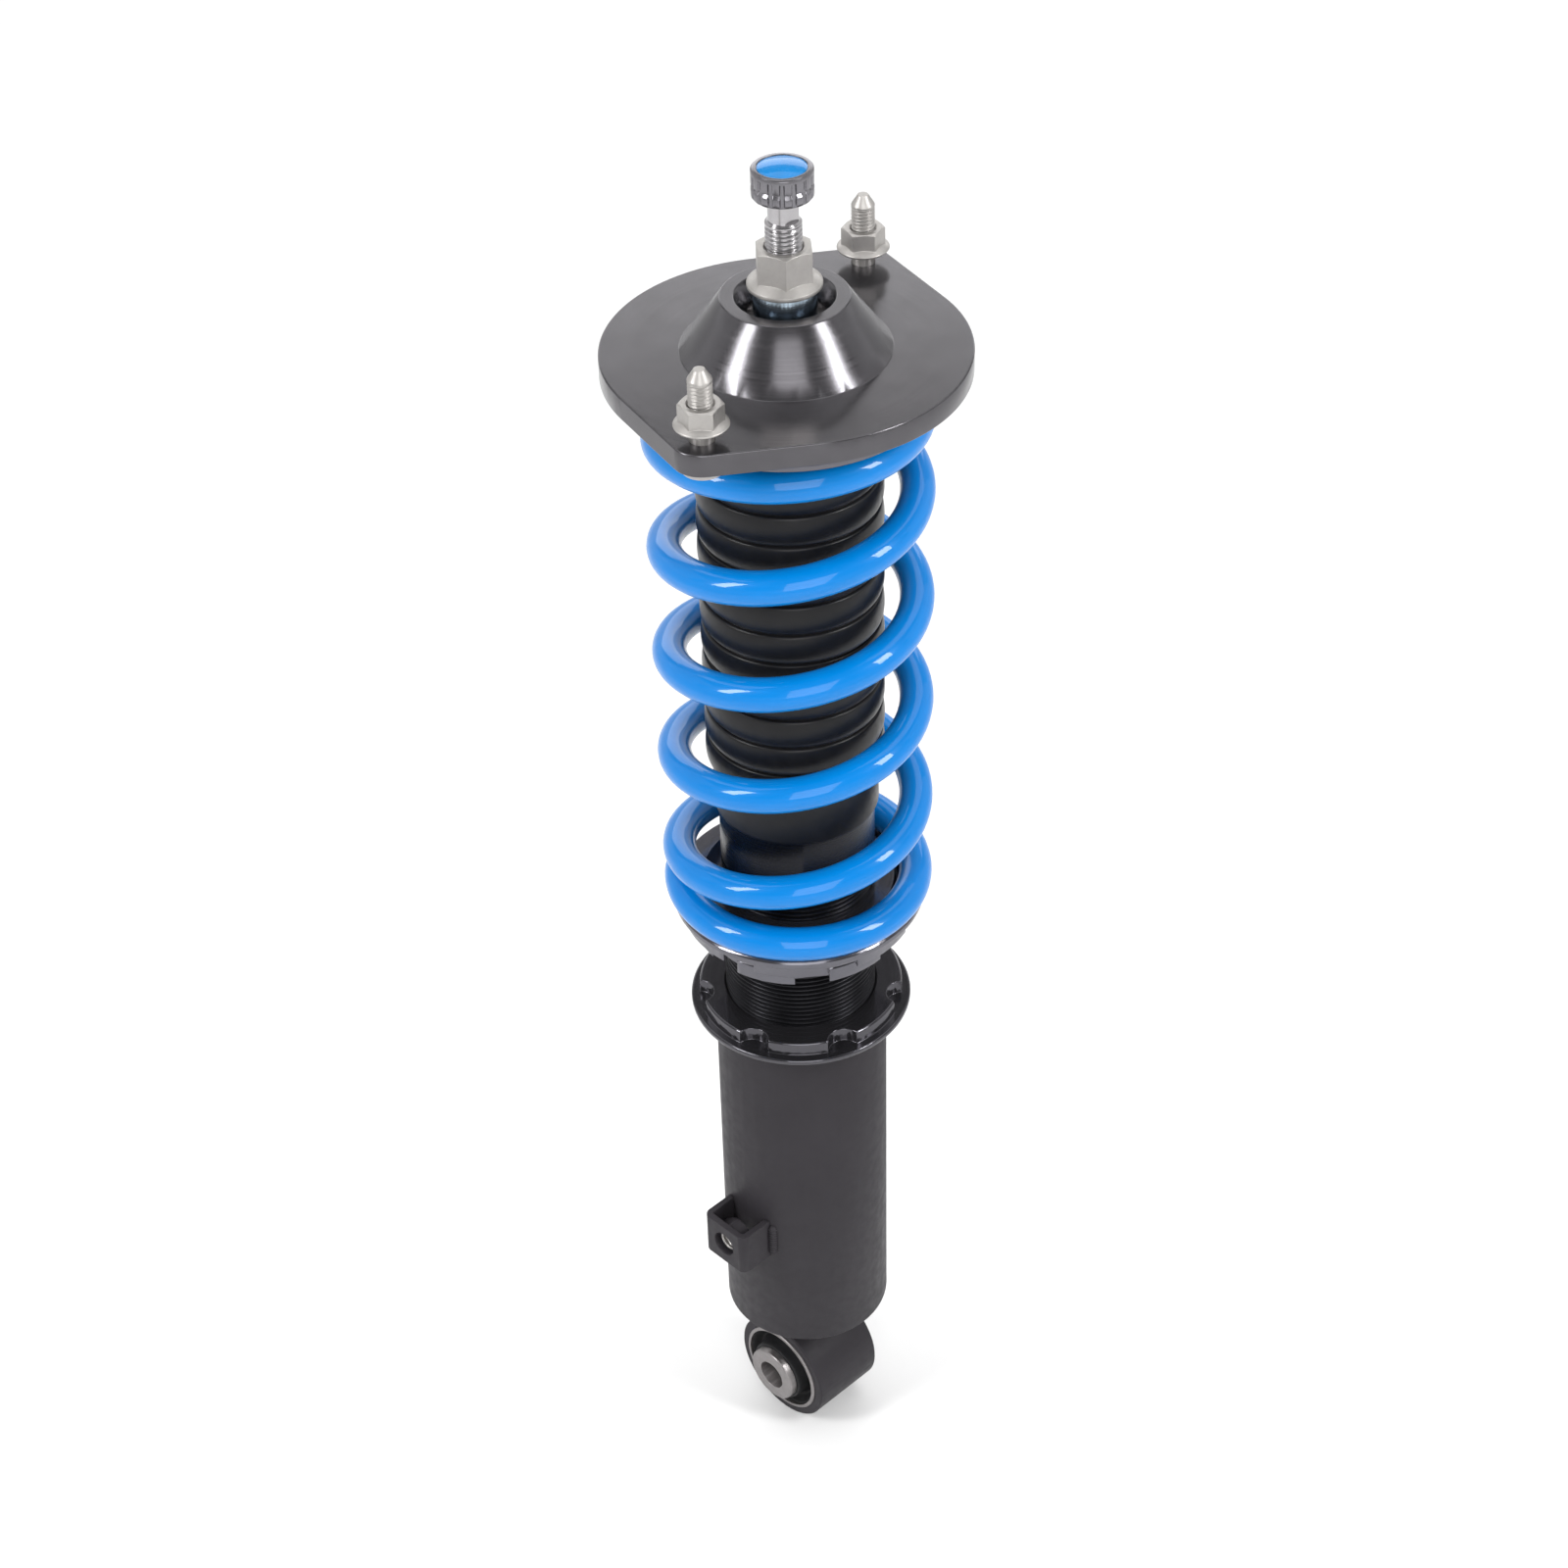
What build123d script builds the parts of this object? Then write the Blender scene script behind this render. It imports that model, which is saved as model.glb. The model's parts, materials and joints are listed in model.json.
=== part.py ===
from build123d import *
from math import atan2, cos, degrees, radians, sin, sqrt
import os

# A height-adjustable suspension strut with a pillow-ball top mount and an eye bush at its foot.
# Frame: the origin is the centre of the lower bolt bore, +Z runs up the strut to the adjuster
# knob, and the eye's bolt axis is Y. The hose bracket faces -Y. Sizes are in millimetres.
os.makedirs("parts", exist_ok=True)

RUN = 0.05  # radial clearance of a running fit

# Lower eye and bush
eye_radius = 23.0
eye_half_width = 16.0
bush_shell_radius = 19.3
bush_shell_bore = 17.8
bush_shell_half_width = 16.8
inner_sleeve_radius = 11.6
inner_sleeve_bore = 6.2
inner_sleeve_half_width = 22.0
rubber_half_width = 19.0
rubber_waist_half_width = 12.0
neck_radius = 14.0

# Lower tube and its fittings
tube_radius = 32.2
tube_bottom = 38.9
tube_top = 196.8
cap_thickness = 8.0
thread_radius = 28.0  # M56 x 2, shared by the cylinder, the tube, the perch and the rings
thread_bore = thread_radius + RUN
edge_break = 0.8
bore_break = 0.7  # countersink of a nut's bore

# Hose bracket
hose_face = 45.0
hose_half_width = 11.0
hose_sheet = 2.6
hose_top = 103.6
hose_height = 19.0
hose_hole = 5.0
weld_nut_bore = 3.4
weld_nut_flats = 13.0
weld_nut_thickness = 6.5
weld_bead = 2.2

# Rings on the thread
collar_top = 204.6
collar_radius = 38.0
lip_radius = 41.3
lip_thickness = 2.4
collar_notch_centre = 39.5
collar_notch_radius = 6.2
collar_notch_phase = 30.8
lock_ring_radius = 39.0
lock_ring_bottom = 234.2
lock_ring_bevel = 1.4
lock_ring_notch_phase = 13.7
perch_radius = 43.2
perch_bottom = 241.5
perch_notch_top = 244.8
perch_notch_phase = 27.6
perch_flange_radius = 46.2
perch_flange_bottom = 248.0
spring_bottom = 251.3
ring_notch_width = 12.6
ring_notch_depth = 4.3
notch_count = 7

# Spring
wire_radius = 6.0
spring_radius = 42.9
spring_pitch = 43.0
spring_tip_angle = 222.5
open_turns = 4.0  # at full pitch
rising_turns = 0.5  # at each end, where the pitch grows from nothing
closed_turns = 0.44  # at each end, flat against the seat
spring_top = spring_bottom + 2 * wire_radius + spring_pitch * (open_turns + rising_turns)
coil_points = 12  # spline points a turn

# Damper cylinder and what it holds
cylinder_bottom = 80.0
cylinder_top = 312.0
cylinder_bore = 23.0
rod_radius = 11.0
end_plug_height = 13.0
oring_section = 1.3
gas_piston_bottom = 118.0
gas_piston_height = 14.0
piston_bottom = 262.0
piston_height = 16.0
guide_bottom = 292.0
guide_top = 304.0
seal_top = 308.0

# Rod
journal_radius = 6.0
neck_rod_radius = 5.0
rod_stub_bottom = 250.0
rod_shoulder = 456.8
rod_thread_top = 521.0
rod_top = 533.0
neck_flats = 8.0
shaft_bore = 2.6
orifice_radius = 1.2
orifice_top = 270.0

# Dust boot
boot_bottom = 291.6
cuff_top = 311.2
boot_top = 452.0
boot_outer = 31.8
boot_groove = 29.9
boot_wall = 1.4
cuff_radius = 29.6
rib_pitch = 11.8

# Bump stop
bump_bottom = 396.0
bump_top = 450.0
bump_radius = 20.0

# Upper seat and pillow-ball mount
seat_radius = 48.0
seat_thickness = 3.2
seat_hub_radius = 36.0
plate_bottom = 467.2
plate_top = 475.2
plate_radius = 61.0
stud_circle = 62.0
corner_radius = 10.0
stud_direction = 110.6
cone_base_radius = 34.8
cone_top_radius = 21.4
cone_top = 494.1
cone_mouth = 16.65
cone_throat = 13.3
throat_height = 487.8
plate_break = 0.3
ball_height = 476.2
ball_radius = 10.65
ball_half_height = 8.0
liner_thickness = 0.7
race_radius = 15.0
race_half_height = 6.0
snap_ring_thickness = 1.6
spacer_radius = 10.4

# Fasteners
nut_bottom = 497.5
nut_height = 14.2
nut_flange_radius = 12.3
nut_flats = 17.5
nut_phase = 19.1
stud_radius = 4.0
stud_top = 500.2
stud_cone = 3.5
stud_tip = 1.9
stud_head_radius = 7.0
stud_head = 3.0
stud_nut_bottom = 480.2
stud_nut_height = 8.0
stud_nut_flange = 8.95
stud_nut_flats = 13.0
stud_nut_phase = 46.1

# Adjuster
knob_bottom = 528.9
knob_top = 539.1
knob_radius = 10.1
knob_groove_depth = 0.6
knob_groove_width = 1.2
knob_grooves = 16
cap_radius = 8.0
cap_rise = 1.1
needle_bottom = 266.5
needle_top = 288.0
needle_tip = 0.6


def turn(*outline, mode=Mode.ADD):
    """Revolve a closed outline of (radius, height) points round the strut's axis."""
    with BuildSketch(Plane.XZ, mode=Mode.PRIVATE) as section:
        with BuildLine():
            Polyline(*outline, close=True)
        make_face()
    revolve(section.sketch, axis=Axis.Z, mode=mode)


def turn_across(*outline):
    """Revolve a closed outline of (radius, distance along Y) points round the eye's axis."""
    with BuildSketch(Plane.XY, mode=Mode.PRIVATE) as section:
        with BuildLine():
            Polyline(*outline, close=True)
        make_face()
    revolve(section.sketch, axis=Axis.Y)


def tube_outline(inner, outer, low, high, bevel=0.0):
    """The section of a plain ring, with an optional bevel on its two outer edges."""
    if bevel == 0:
        return (inner, low), (outer, low), (outer, high), (inner, high)
    return (
        (inner, low),
        (outer - bevel, low),
        (outer, low + bevel),
        (outer, high - bevel),
        (outer - bevel, high),
        (inner, high),
    )


def polar(radius, angle, height=0.0):
    """A point at a radius and an angle in degrees round the strut's axis."""
    return (radius * cos(radians(angle)), radius * sin(radians(angle)), height)


def flange_nut(centre, low, height, bore, flats, flange_radius, phase):
    """A hexagon flange nut, chamfered at its top, standing on its flange at height low."""
    across_corners = flats / cos(radians(30))
    flange_rim = 0.11 * height
    flange_rise = 0.26 * height
    x, y = centre
    with BuildSketch(Plane.XY.offset(low + flange_rim), mode=Mode.PRIVATE) as hexagon:
        with Locations(Location((x, y), phase)):
            RegularPolygon(across_corners / 2, 6)
    extrude(hexagon.sketch, amount=height - flange_rim)
    section_plane = Plane(origin=(x, y, 0), x_dir=(1, 0, 0), z_dir=(0, -1, 0))
    with BuildSketch(section_plane, mode=Mode.PRIVATE) as limit:
        with BuildLine():
            Polyline(
                (0, low),
                (flange_radius, low),
                (flange_radius, low + height),
                (across_corners / 2, low + height - 0.06 * height),
                (flats / 2 * 0.97, low + height),
                (0, low + height),
                close=True,
            )
        make_face()
    nut_axis = Axis((x, y, 0), (0, 0, 1))
    revolve(limit.sketch, axis=nut_axis, mode=Mode.INTERSECT)
    with BuildSketch(section_plane, mode=Mode.PRIVATE) as flange:
        with BuildLine():
            Polyline(
                (0, low),
                (flange_radius - 0.4, low),
                (flange_radius, low + 0.4),
                (flange_radius, low + flange_rim),
                (flats / 2, low + flange_rise),
                (0, low + flange_rise),
                close=True,
            )
        make_face()
    revolve(flange.sketch, axis=nut_axis)
    with Locations((x, y, low + height / 2)):
        Cylinder(bore, height, mode=Mode.SUBTRACT)
    with Locations((x, y, low + height - bore_break / 2)):
        Cone(bore, bore + bore_break, bore_break, mode=Mode.SUBTRACT)


def save(piece, name):
    """Label a finished sub-part and write it as its own STEP file."""
    piece.part.label = name
    export_step(piece.part, f"parts/{name}.step")


# ---- Lower eye -------------------------------------------------------------------------------

with BuildPart() as eye_ring:
    with Locations(Location((0, 0, 0), (90, 0, 0))):
        Cylinder(eye_radius, 2 * eye_half_width)
    with Locations((0, 0, tube_bottom / 2)):
        Cylinder(neck_radius, tube_bottom)
    with Locations(Location((0, 0, 0), (90, 0, 0))):
        Cylinder(bush_shell_radius, 4 * eye_half_width, mode=Mode.SUBTRACT)
    circles = eye_ring.edges().filter_by(GeomType.CIRCLE)
    rims = circles.filter_by(lambda e: abs(e.radius - eye_radius) < 0.01)
    chamfer(rims, 0.6)
save(eye_ring, "eye_ring")

with BuildPart() as eye_weld:
    turn(
        (neck_radius, tube_bottom - 4),
        (neck_radius + 1.2, tube_bottom - 3),
        (neck_radius + 4, tube_bottom),
        (neck_radius, tube_bottom),
    )
save(eye_weld, "eye_weld")

with BuildPart() as bush_outer_sleeve:
    turn_across(*tube_outline(bush_shell_bore, bush_shell_radius, -bush_shell_half_width,
                              bush_shell_half_width, 0.4))
save(bush_outer_sleeve, "bush_outer_sleeve")

with BuildPart() as bush_rubber:
    rubber_bore = inner_sleeve_radius + RUN
    turn_across(
        (rubber_bore, -rubber_half_width),
        (rubber_bore + 1.2, -rubber_half_width),
        (rubber_bore + 2.4, -rubber_waist_half_width),
        (bush_shell_bore - 2.0, -rubber_waist_half_width),
        (bush_shell_bore, -rubber_waist_half_width - 3),
        (bush_shell_bore, rubber_waist_half_width + 3),
        (bush_shell_bore - 2.0, rubber_waist_half_width),
        (rubber_bore + 2.4, rubber_waist_half_width),
        (rubber_bore + 1.2, rubber_half_width),
        (rubber_bore, rubber_half_width),
    )
save(bush_rubber, "bush_rubber")

with BuildPart() as bush_inner_sleeve:
    turn_across(*tube_outline(inner_sleeve_bore, inner_sleeve_radius, -inner_sleeve_half_width,
                              inner_sleeve_half_width, 0.5))
save(bush_inner_sleeve, "bush_inner_sleeve")

# ---- Lower tube ------------------------------------------------------------------------------

with BuildPart() as lower_tube:
    turn(
        (thread_bore, tube_bottom),
        (tube_radius - edge_break, tube_bottom),
        (tube_radius, tube_bottom + edge_break),
        (tube_radius, tube_top),
        (thread_bore, tube_top),
    )
save(lower_tube, "lower_tube")

with BuildPart() as bottom_cap:
    turn((0, tube_bottom), (thread_bore, tube_bottom), (thread_bore, tube_bottom + cap_thickness),
         (0, tube_bottom + cap_thickness))
save(bottom_cap, "bottom_cap")

hose_bottom = hose_top - hose_height
hose_middle = (hose_top + hose_bottom) / 2
with BuildPart() as hose_bracket:
    with BuildSketch(Plane.XY.offset(hose_bottom)):
        with Locations((0, -hose_face / 2)):
            RectangleRounded(2 * hose_half_width, hose_face, 3.0)
        with Locations((0, -hose_face / 2)):
            hose_inside = 2 * (hose_half_width - hose_sheet)
            RectangleRounded(hose_inside, hose_face - 2 * hose_sheet, 1.0, mode=Mode.SUBTRACT)
        Circle(tube_radius, mode=Mode.SUBTRACT)
        with Locations((0, tube_radius / 2)):
            Rectangle(4 * hose_half_width, tube_radius, mode=Mode.SUBTRACT)
    extrude(amount=hose_height)
    with Locations(Location((0, -hose_face, hose_middle), (90, 0, 0))):
        Cylinder(hose_hole, 4 * hose_sheet, mode=Mode.SUBTRACT)
save(hose_bracket, "hose_bracket")

with BuildPart() as hose_weld_nut:
    nut_plane = Plane(origin=(0, -hose_face + hose_sheet, hose_middle), x_dir=(1, 0, 0), z_dir=(0, 1, 0))
    with BuildSketch(nut_plane):
        RegularPolygon(weld_nut_flats / sqrt(3), 6)
        Circle(weld_nut_bore, mode=Mode.SUBTRACT)
    extrude(amount=weld_nut_thickness)
save(hose_weld_nut, "hose_weld_nut")

bead_angle = degrees(atan2(hose_half_width, sqrt(tube_radius**2 - hose_half_width**2)))
with BuildPart() as bracket_welds:
    for side in (-1, 1):
        with BuildSketch(Plane.XY.offset(hose_bottom + 1)):
            with Locations(polar(tube_radius + 0.2, -90 + side * (bead_angle + 2.2))[:2]):
                Circle(weld_bead)
            Circle(tube_radius, mode=Mode.SUBTRACT)
            with Locations((0, -hose_face / 2)):
                Rectangle(2 * hose_half_width, hose_face, mode=Mode.SUBTRACT)
        extrude(amount=hose_height - 2)
save(bracket_welds, "bracket_welds")

# ---- Rings on the thread ---------------------------------------------------------------------

with BuildPart() as bracket_lock_collar:
    turn(
        (thread_bore, tube_top),
        (lip_radius - 0.5, tube_top),
        (lip_radius, tube_top + 0.5),
        (lip_radius, tube_top + lip_thickness - 0.5),
        (lip_radius - 0.5, tube_top + lip_thickness),
        (collar_radius, tube_top + lip_thickness),
        (collar_radius, collar_top - 0.6),
        (collar_radius - 0.6, collar_top),
        (thread_bore + 0.6, collar_top),
        (thread_bore, collar_top - 0.6),
    )
    with BuildSketch(Plane.XY.offset(tube_top + lip_thickness)):
        with PolarLocations(collar_notch_centre, notch_count, start_angle=collar_notch_phase):
            Circle(collar_notch_radius)
    extrude(amount=collar_top - tube_top, mode=Mode.SUBTRACT)
save(bracket_lock_collar, "bracket_lock_collar")


def cut_square_notches(radius, low, high, phase):
    """Cut the spanner notches of a ring of the given radius between two heights."""
    with BuildSketch(Plane.XY.offset(low), mode=Mode.PRIVATE) as notches:
        with PolarLocations(radius, notch_count, start_angle=phase):
            Rectangle(2 * ring_notch_depth, ring_notch_width)
    extrude(notches.sketch, amount=high - low, mode=Mode.SUBTRACT)


with BuildPart() as perch_lock_ring:
    turn(
        (thread_bore, lock_ring_bottom),
        (lock_ring_radius - 0.5, lock_ring_bottom),
        (lock_ring_radius, lock_ring_bottom + 0.5),
        (lock_ring_radius, perch_bottom - lock_ring_bevel),
        (lock_ring_radius - lock_ring_bevel, perch_bottom),
        (thread_bore, perch_bottom),
    )
    cut_square_notches(lock_ring_radius, lock_ring_bottom, perch_bottom, lock_ring_notch_phase)
save(perch_lock_ring, "perch_lock_ring")

with BuildPart() as spring_perch:
    perch_face = spring_bottom - RUN
    turn(
        (thread_bore, perch_bottom),
        (perch_radius - 0.4, perch_bottom),
        (perch_radius, perch_bottom + 0.4),
        (perch_radius, perch_flange_bottom),
        (perch_flange_radius - 0.4, perch_flange_bottom),
        (perch_flange_radius, perch_flange_bottom + 0.4),
        (perch_flange_radius, perch_face - 1.0),
        (perch_flange_radius - 1.0, perch_face),
        (spring_radius - wire_radius - 1, perch_face),
        (spring_radius - wire_radius - 1.6, spring_bottom + 4),
        (thread_bore, spring_bottom + 4),
    )
    cut_square_notches(perch_radius, perch_bottom, perch_notch_top, perch_notch_phase)
save(spring_perch, "spring_perch")

# ---- Spring ----------------------------------------------------------------------------------

coil_turns = open_turns + 2 * rising_turns + 2 * closed_turns
coil_rise = spring_pitch * (open_turns + rising_turns)


def coil_height(turns):
    """How far the wire's centre has risen after a number of turns from its lower tip."""
    if turns > coil_turns / 2:
        return coil_rise - coil_height(coil_turns - turns)
    if turns < closed_turns:
        return 0.0
    if turns < closed_turns + rising_turns:
        return spring_pitch * (turns - closed_turns) ** 2 / (2 * rising_turns)
    return spring_pitch * (turns - closed_turns - rising_turns / 2)


with BuildPart() as coil_spring:
    with BuildLine() as coil:
        steps = round(coil_turns * coil_points)
        wire_foot = spring_bottom + wire_radius
        route = []
        for step in range(steps + 1):
            turns = coil_turns * step / steps
            height = wire_foot + coil_height(turns)
            route.append(polar(spring_radius, spring_tip_angle + 360 * turns, height))
        Spline(*route)
    with BuildSketch(Plane(origin=coil.line @ 0, z_dir=coil.line % 0)):
        Circle(wire_radius)
    sweep(path=coil.line, is_frenet=True)
save(coil_spring, "coil_spring")

# ---- Damper cylinder -------------------------------------------------------------------------

with BuildPart() as damper_cylinder:
    turn(*tube_outline(cylinder_bore, thread_radius, cylinder_bottom, cylinder_top, 0.6))
save(damper_cylinder, "damper_cylinder")

plug_top = cylinder_bottom + end_plug_height
plug_groove = cylinder_bottom + 6
with BuildPart() as end_plug:
    turn(
        (3.0, cylinder_bottom),
        (cylinder_bore, cylinder_bottom),
        (cylinder_bore, plug_groove),
        (cylinder_bore - 2 * oring_section, plug_groove),
        (cylinder_bore - 2 * oring_section, plug_groove + 2 * oring_section),
        (cylinder_bore, plug_groove + 2 * oring_section),
        (cylinder_bore, plug_top),
        (3.0, plug_top),
    )
save(end_plug, "end_plug")

with BuildPart() as end_plug_oring:
    turn(*tube_outline(cylinder_bore - 2 * oring_section, cylinder_bore, plug_groove,
                       plug_groove + 2 * oring_section, 0.5))
save(end_plug_oring, "end_plug_oring")

with BuildPart() as gas_valve:
    turn(
        (0, cylinder_bottom - 8),
        (2.4, cylinder_bottom - 8),
        (2.4, cylinder_bottom - 2),
        (4.6, cylinder_bottom - 2),
        (4.6, cylinder_bottom),
        (3.0, cylinder_bottom),
        (3.0, plug_top - 2),
        (0, plug_top - 2),
    )
save(gas_valve, "gas_valve")

gas_piston_radius = cylinder_bore - RUN
gas_groove = gas_piston_bottom + gas_piston_height / 2 - oring_section
with BuildPart() as floating_piston:
    turn(
        (0, gas_piston_bottom + 3),
        (gas_piston_radius - 5, gas_piston_bottom + 3),
        (gas_piston_radius - 3, gas_piston_bottom),
        (gas_piston_radius, gas_piston_bottom),
        (gas_piston_radius, gas_groove),
        (gas_piston_radius - 2 * oring_section, gas_groove),
        (gas_piston_radius - 2 * oring_section, gas_groove + 2 * oring_section),
        (gas_piston_radius, gas_groove + 2 * oring_section),
        (gas_piston_radius, gas_piston_bottom + gas_piston_height),
        (0, gas_piston_bottom + gas_piston_height),
    )
save(floating_piston, "floating_piston")

with BuildPart() as floating_piston_oring:
    turn(*tube_outline(gas_piston_radius - 2 * oring_section, gas_piston_radius, gas_groove,
                       gas_groove + 2 * oring_section, 0.5))
save(floating_piston_oring, "floating_piston_oring")

with BuildPart() as rod_guide:
    turn(*tube_outline(rod_radius + 1.5, cylinder_bore, guide_bottom, guide_top))
save(rod_guide, "rod_guide")

with BuildPart() as guide_bush:
    turn(*tube_outline(rod_radius + RUN, rod_radius + 1.5, guide_bottom, guide_top))
save(guide_bush, "guide_bush")

with BuildPart() as rod_seal:
    turn(*tube_outline(rod_radius + RUN, cylinder_bore, guide_top, seal_top))
save(rod_seal, "rod_seal")

with BuildPart() as gland_cap:
    turn(
        (rod_radius + 0.6, seal_top),
        (cylinder_bore, seal_top),
        (cylinder_bore, cylinder_top),
        (thread_radius - 1, cylinder_top),
        (thread_radius - 1, cylinder_top + 1.5),
        (thread_radius - 3, cylinder_top + 3),
        (rod_radius + 0.6, cylinder_top + 3),
    )
save(gland_cap, "gland_cap")

# ---- Rod -------------------------------------------------------------------------------------

piston_top = piston_bottom + piston_height
with BuildPart() as piston_rod:
    turn(
        (orifice_radius, rod_stub_bottom),
        (journal_radius, rod_stub_bottom),
        (journal_radius, piston_top + 2),
        (rod_radius, piston_top + 2),
        (rod_radius, rod_shoulder),
        (journal_radius, rod_shoulder),
        (journal_radius, rod_thread_top - 0.8),
        (neck_rod_radius + 0.2, rod_thread_top),
        (neck_rod_radius, rod_thread_top),
        (neck_rod_radius, rod_top),
        (shaft_bore, rod_top),
        (shaft_bore, orifice_top),
        (orifice_radius, orifice_top),
    )
    flat_height = rod_top - rod_thread_top + 2
    flat_width = neck_rod_radius - neck_flats / 2
    for side in (-1, 1):
        flat_x = side * (neck_flats / 2 + flat_width)
        with Locations((flat_x, 0, rod_thread_top + flat_height / 2 - 0.5)):
            Box(2 * flat_width, 4 * neck_rod_radius, flat_height, mode=Mode.SUBTRACT)
save(piston_rod, "piston_rod")

with BuildPart() as damper_piston:
    turn(
        (journal_radius, piston_bottom),
        (cylinder_bore - 1.2, piston_bottom),
        (cylinder_bore - 1.2, piston_top),
        (journal_radius, piston_top),
    )
    with BuildSketch(Plane.XY.offset(piston_bottom)):
        with PolarLocations(13.0, 6):
            Circle(2.2)
    extrude(amount=piston_height, mode=Mode.SUBTRACT)
save(damper_piston, "damper_piston")

with BuildPart() as piston_band:
    turn(*tube_outline(cylinder_bore - 1.2, cylinder_bore - RUN, piston_bottom + 2, piston_top - 2))
save(piston_band, "piston_band")

shim = 0.4
for name, low, direction in (("compression_shims", piston_top, 1), ("rebound_shims", piston_bottom, -1)):
    with BuildPart() as shims:
        for step, radius in enumerate((17.5, 15.0, 12.5, 10.0, 8.0)):
            near = low + direction * step * shim
            far = near + direction * shim * 0.9
            turn(*tube_outline(journal_radius, radius, min(near, far), max(near, far)))
    save(shims, name)

nut_clamp_top = piston_bottom - 5 * shim
with BuildPart() as piston_nut:
    with BuildSketch(Plane.XY.offset(nut_clamp_top - 7)):
        RegularPolygon(19 / sqrt(3), 6)
        Circle(journal_radius, mode=Mode.SUBTRACT)
    extrude(amount=7)
save(piston_nut, "piston_nut")

with BuildPart() as bump_stop:
    turn(
        (rod_radius + 0.3, bump_bottom),
        (bump_radius - 6, bump_bottom),
        (bump_radius - 2, bump_bottom + 8),
        (bump_radius - 5, bump_bottom + 15),
        (bump_radius, bump_bottom + 24),
        (bump_radius - 4, bump_bottom + 33),
        (bump_radius, bump_bottom + 42),
        (bump_radius, bump_top),
        (rod_radius + 0.3, bump_top),
    )
save(bump_stop, "bump_stop")

with BuildPart() as dust_boot:
    rib_count = int((boot_top - 6 - cuff_top) / rib_pitch)
    ribs = []
    for rib in range(rib_count):
        groove = cuff_top + rib * rib_pitch
        ribs += [(boot_groove, groove), (boot_outer, groove + 0.25 * rib_pitch),
                 (boot_outer, groove + 0.75 * rib_pitch)]
    ribs.append((boot_groove, cuff_top + rib_count * rib_pitch))
    cuff = [(cuff_radius, boot_bottom), (cuff_radius, cuff_top - 1)]
    rim = [(boot_groove, boot_top), (boot_groove - boot_wall, boot_top)]
    inside = [(radius - boot_wall, height) for radius, height in reversed(ribs)]
    foot = [(thread_radius + 0.1, cuff_top - 1), (thread_radius + 0.1, boot_bottom)]
    turn(*cuff, *ribs, *rim, *inside, *foot)
save(dust_boot, "dust_boot")

with BuildPart() as upper_spring_seat:
    seat_top = spring_top + seat_thickness
    turn(
        (journal_radius + RUN, rod_shoulder),
        (rod_radius + 8, rod_shoulder),
        (rod_radius + 8, bump_top),
        (seat_hub_radius - 7.6, bump_top),
        (seat_hub_radius - 7.6, boot_top + 0.5),
        (seat_hub_radius - 1, boot_top + 0.5),
        (seat_hub_radius, boot_top + 1.5),
        (seat_hub_radius, spring_top + RUN),
        (seat_radius - 0.6, spring_top + RUN),
        (seat_radius, spring_top + 0.6),
        (seat_radius, seat_top - 0.6),
        (seat_radius - 0.6, seat_top),
        (journal_radius + RUN, seat_top),
    )
save(upper_spring_seat, "upper_spring_seat")

ball_bottom = ball_height - ball_half_height
ball_top = ball_height + ball_half_height
with BuildPart() as lower_spacer:
    turn(*tube_outline(journal_radius + RUN, spacer_radius - 1.4, seat_top, ball_bottom, 0.5))
save(lower_spacer, "lower_spacer")

with BuildPart() as bearing_ball:
    with Locations((0, 0, ball_height)):
        Sphere(ball_radius)
        Box(4 * ball_radius, 4 * ball_radius, 2 * ball_half_height, mode=Mode.INTERSECT)
        Cylinder(journal_radius + RUN, 4 * ball_radius, mode=Mode.SUBTRACT)
save(bearing_ball, "bearing_ball")

with BuildPart() as upper_spacer:
    turn(
        (journal_radius + RUN, ball_top),
        (spacer_radius - 3.0, ball_top),
        (spacer_radius, ball_top + 2.6),
        (spacer_radius, nut_bottom),
        (journal_radius + RUN, nut_bottom),
    )
save(upper_spacer, "upper_spacer")

with BuildPart() as rod_nut:
    flange_nut((0, 0), nut_bottom, nut_height, journal_radius, nut_flats, nut_flange_radius, nut_phase)
save(rod_nut, "rod_nut")

# ---- Adjuster --------------------------------------------------------------------------------

cap_seat = knob_top - 1.0
with BuildPart() as adjuster_knob:
    tier_gap = (knob_bottom + knob_top) / 2 - 0.6
    turn(
        (0, knob_bottom),
        (knob_radius - 1.0, knob_bottom),
        (knob_radius, knob_bottom + 1.0),
        (knob_radius, tier_gap - 0.6),
        (knob_radius - 0.7, tier_gap),
        (knob_radius, tier_gap + 0.6),
        (knob_radius, knob_top - 0.8),
        (knob_radius - 0.8, knob_top),
        (cap_radius + RUN, knob_top),
        (cap_radius + RUN, cap_seat),
        (0, cap_seat),
    )
    with BuildSketch(Plane.XY.offset(knob_bottom)):
        with PolarLocations(knob_radius, knob_grooves):
            Rectangle(2 * knob_groove_depth, knob_groove_width)
    extrude(amount=knob_top - knob_bottom - 1.4, mode=Mode.SUBTRACT)
    with Locations((0, 0, (knob_bottom + rod_top + 0.3) / 2)):
        Cylinder(neck_rod_radius + RUN, rod_top + 0.3 - knob_bottom, mode=Mode.SUBTRACT)
    with Locations((0, 0, rod_top + 1)):
        Cylinder(2.5, 4, mode=Mode.SUBTRACT)
save(adjuster_knob, "adjuster_knob")

dome_radius = (cap_radius**2 + cap_rise**2) / (2 * cap_rise)
with BuildPart() as knob_cap:
    with Locations((0, 0, cap_seat)):
        Cylinder(cap_radius, 4 * cap_rise, align=(Align.CENTER, Align.CENTER, Align.MIN))
    with Locations((0, 0, knob_top - 0.2 + cap_rise - dome_radius)):
        Sphere(dome_radius, mode=Mode.INTERSECT)
save(knob_cap, "knob_cap")

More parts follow.
